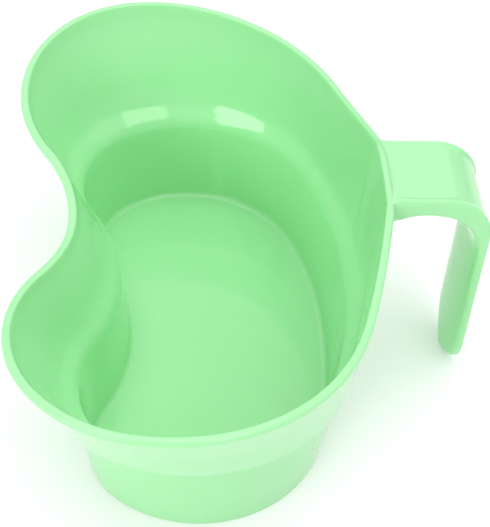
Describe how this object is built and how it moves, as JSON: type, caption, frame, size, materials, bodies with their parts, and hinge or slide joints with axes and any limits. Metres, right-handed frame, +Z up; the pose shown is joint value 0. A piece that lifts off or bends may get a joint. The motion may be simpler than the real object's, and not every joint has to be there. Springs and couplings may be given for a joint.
{
  "type": "hair color bowl",
  "caption": "Kidney-shaped hair color bowl with a neck cut-out, a flared wall over a narrower well, and an open hooked strap handle.",
  "frame": {"origin": "centre of the base's underside, on the bowl's mirror plane", "axes": "+Z up out of the bowl's mouth, +X towards the handle, so the neck cut-out faces -X, and +Y along the bowl's length, across its mirror plane"},
  "size_m": [0.153, 0.2, 0.0854],
  "materials": {
    "bowl_plastic": "glossy, slightly translucent mint green polypropylene",
    "handle_plastic": "glossy, slightly translucent mint green polypropylene"
  },
  "bodies": {
    "root": {"bowl": "bowl_plastic", "handle": "handle_plastic"}
  },
  "joints": []
}
